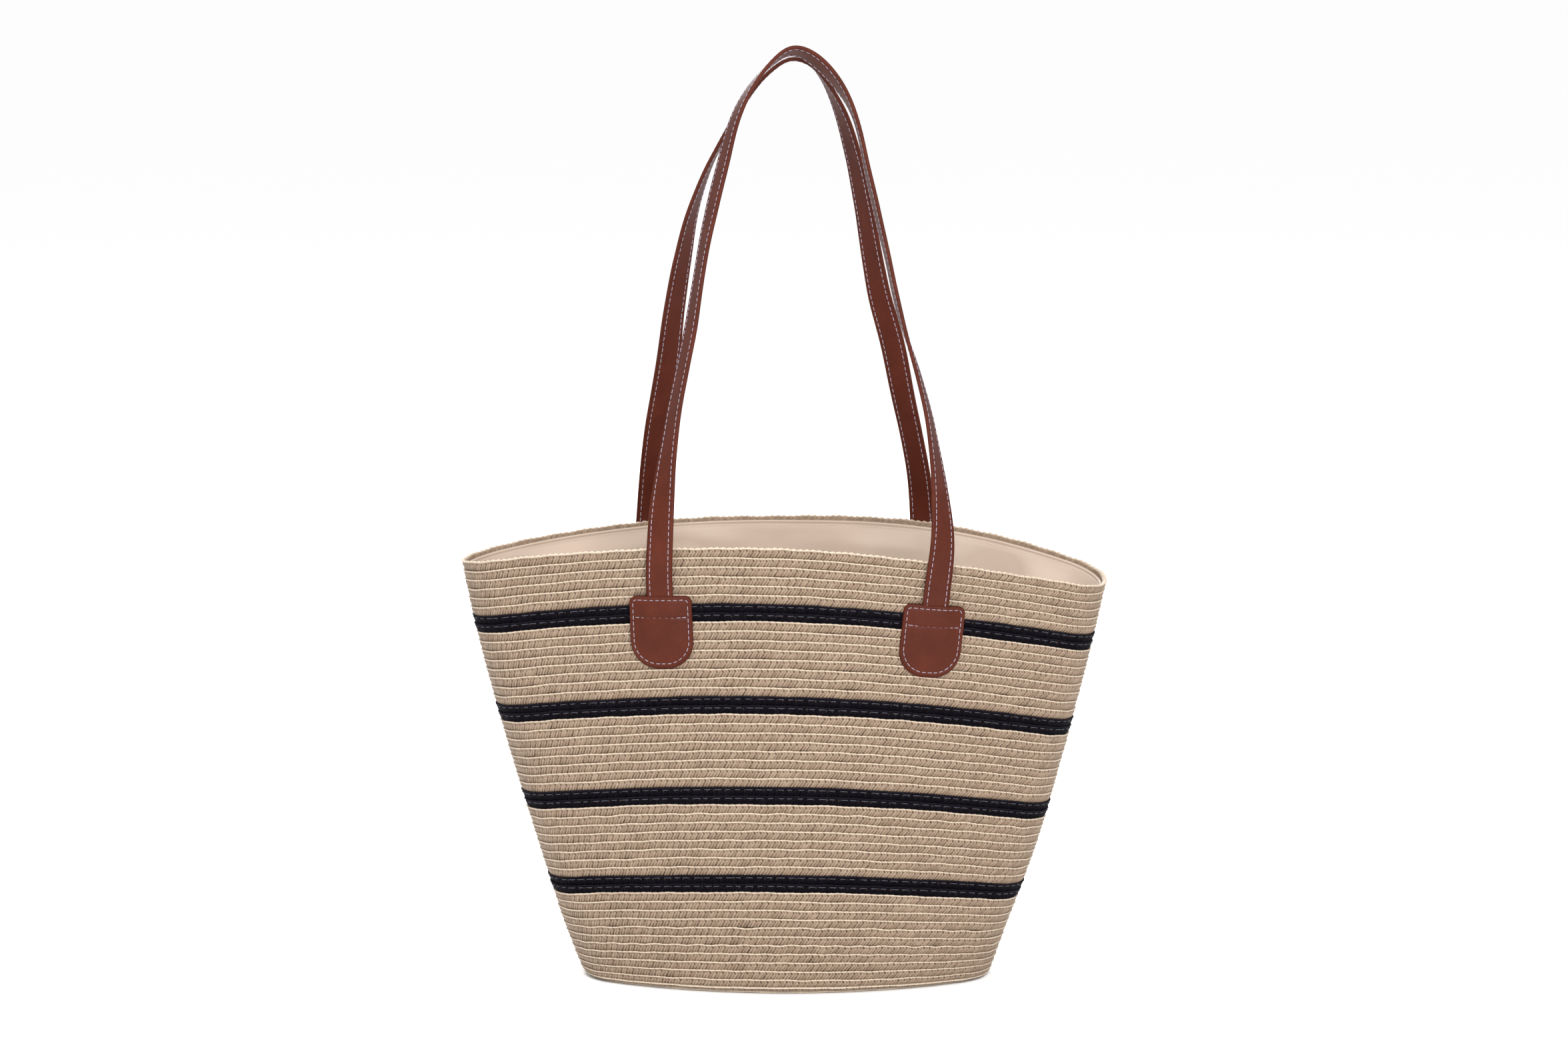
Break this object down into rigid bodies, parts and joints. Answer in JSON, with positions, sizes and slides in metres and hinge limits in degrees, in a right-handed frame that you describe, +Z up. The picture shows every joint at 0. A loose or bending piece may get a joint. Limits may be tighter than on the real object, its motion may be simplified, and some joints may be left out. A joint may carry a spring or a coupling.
{
  "type": "beach bag",
  "caption": "Open straw tote of sewn braid rows with dark stripes, a cloth lining and two long leather shoulder handles on sewn tabs.",
  "frame": {"origin": "middle of the base, on the ground", "axes": "+X to the bag's right seen from the front, +Z up; the front faces -Y"},
  "size_m": [0.4517, 0.1604, 0.6564],
  "materials": {
    "straw": "matt braided straw",
    "black_braid": "matt black braided straw",
    "lining": "soft cream cotton",
    "leather": "chestnut brown, satin, edge stitched",
    "snap_metal": "pale nickel"
  },
  "bodies": {
    "bag_body": {"base_braid": "straw", "natural_band_1": "straw", "natural_band_2": "straw", "natural_band_3": "straw", "natural_band_4": "straw", "natural_band_5": "straw", "black_stripe_1": "black_braid", "black_stripe_2": "black_braid", "black_stripe_3": "black_braid", "black_stripe_4": "black_braid", "lining_front": "lining", "lining_back": "lining", "lining_base": "lining", "lining_hem": "lining", "slip_pocket": "lining", "snap_stud": "snap_metal", "snap_socket": "snap_metal", "snap_stud_washer": "snap_metal", "snap_socket_washer": "snap_metal", "front_left_tab": "leather", "front_left_tab_backing": "leather", "front_left_strap_end": "leather", "front_right_tab": "leather", "front_right_tab_backing": "leather", "front_right_strap_end": "leather", "rear_left_tab": "leather", "rear_left_tab_backing": "leather", "rear_left_strap_end": "leather", "rear_right_tab": "leather", "rear_right_tab_backing": "leather", "rear_right_strap_end": "leather"},
    "front_handle_body": {"front_handle": "leather"},
    "rear_handle_body": {"rear_handle": "leather"}
  },
  "joints": [
    {"name": "front_handle_swing", "type": "hinge", "parent": "bag_body", "child": "front_handle_body", "pos_m": [0.00761, -0.07603, 0.27891], "axis": [0.9992, 0.0172, -0.0363], "range_deg": [0, 140]},
    {"name": "rear_handle_swing", "type": "hinge", "parent": "bag_body", "child": "rear_handle_body", "pos_m": [-0.00101, 0.0753, 0.27886], "axis": [-0.9998, -0.001, 0.0201], "range_deg": [0, 140]}
  ]
}
